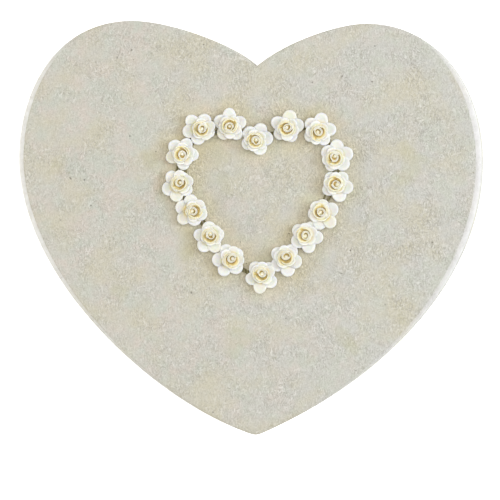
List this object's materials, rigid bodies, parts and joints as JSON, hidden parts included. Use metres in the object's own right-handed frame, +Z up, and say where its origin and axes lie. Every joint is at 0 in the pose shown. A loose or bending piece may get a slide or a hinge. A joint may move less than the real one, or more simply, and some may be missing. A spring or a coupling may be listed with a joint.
{
  "type": "wind up music box",
  "caption": "Heart-shaped paper-covered music box with a lift-off lid, a wreath of paper roses, a lined tray and a wind-up comb movement with a key underneath.",
  "frame": {"origin": "centre of the bounding box on the plane that the side wall stands on", "axes": "+Z up through the lid, +Y from the tip of the heart to its notch, +X to the right seen from above"},
  "size_m": [0.14, 0.1254, 0.0618],
  "materials": {
    "cover_paper": "handmade paper, warm grey-beige, with fibres and specks",
    "board": "plain greyboard",
    "lining": "cream flocked lining",
    "rose_paper": "white mulberry paper, cream at the centre",
    "zinc": "zinc die casting, satin grey",
    "steel": "plated steel",
    "brass": "satin brass",
    "nylon": "moulded nylon",
    "knob": "black moulded plastic"
  },
  "bodies": {
    "box": {"side_wall": "cover_paper", "lower_liner": "board", "floor_panel": "board", "middle_liner": "board", "tray_floor": "board", "tray_lining": "lining", "bedplate": "zinc", "comb": "steel", "comb_screw_1": "steel", "comb_screw_2": "steel", "barrel_bridge": "steel", "bridge_screw_1": "steel", "bridge_screw_2": "steel", "click_spring": "steel", "bearing_left": "steel", "bearing_right": "steel", "bearing_screw_1": "steel", "bearing_screw_2": "steel", "governor_frame": "zinc", "governor_screw": "steel", "movement_screw_1": "steel", "movement_screw_2": "steel", "movement_screw_3": "steel"},
    "lid": {"lid_panel": "cover_paper", "lid_skirt": "cover_paper", "lid_lining": "lining", "rose_01": "rose_paper", "rose_02": "rose_paper", "rose_03": "rose_paper", "rose_04": "rose_paper", "rose_05": "rose_paper", "rose_06": "rose_paper", "rose_07": "rose_paper", "rose_08": "rose_paper", "rose_09": "rose_paper", "rose_10": "rose_paper", "rose_11": "rose_paper", "rose_12": "rose_paper", "rose_13": "rose_paper", "rose_14": "rose_paper", "rose_15": "rose_paper", "rose_16": "rose_paper"},
    "key": {"winding_key": "steel", "winding_arbor": "steel"},
    "barrel": {"spring_barrel": "steel", "barrel_cover": "steel", "mainspring": "steel"},
    "drum": {"music_cylinder": "brass", "cylinder_arbor": "steel", "cylinder_pinion": "brass", "cylinder_gear": "nylon"},
    "wheel": {"intermediate_wheel": "nylon"},
    "fly": {"fly_worm": "brass", "fly_vane": "nylon"},
    "stop": {"stop_lever": "brass", "stop_knob": "knob"}
  },
  "joints": [
    {"name": "lid_lift", "type": "slide", "parent": "box", "child": "lid", "axis": [0, 0, 1], "range_m": [0, 0.06]},
    {"name": "key_wind", "type": "hinge", "parent": "box", "child": "key", "pos_m": [-0.015, 0.006, 0.006], "axis": [0, 0, 1], "continuous": true},
    {"name": "barrel_turn", "type": "hinge", "parent": "box", "child": "barrel", "pos_m": [-0.015, 0.006, 0.022], "axis": [0, 0, 1], "continuous": true},
    {"name": "drum_turn", "type": "hinge", "parent": "box", "child": "drum", "pos_m": [0.01, 0.006, 0.0258], "axis": [1, 0, 0], "continuous": true},
    {"name": "wheel_turn", "type": "hinge", "parent": "box", "child": "wheel", "pos_m": [0.0235, 0.01725, 0.02341], "axis": [1, 0, 0], "continuous": true},
    {"name": "fly_spin", "type": "hinge", "parent": "box", "child": "fly", "pos_m": [0.0251, 0.0245, 0.026], "axis": [0, 0, 1], "continuous": true},
    {"name": "stop_slide", "type": "slide", "parent": "box", "child": "stop", "axis": [-1, 0, 0], "range_m": [0, 0.003]}
  ],
  "couplings": [
    {"joint": "drum_turn", "follows": "barrel_turn", "ratio": 4},
    {"joint": "wheel_turn", "follows": "barrel_turn", "ratio": -14.4},
    {"joint": "fly_spin", "follows": "barrel_turn", "ratio": 288}
  ]
}
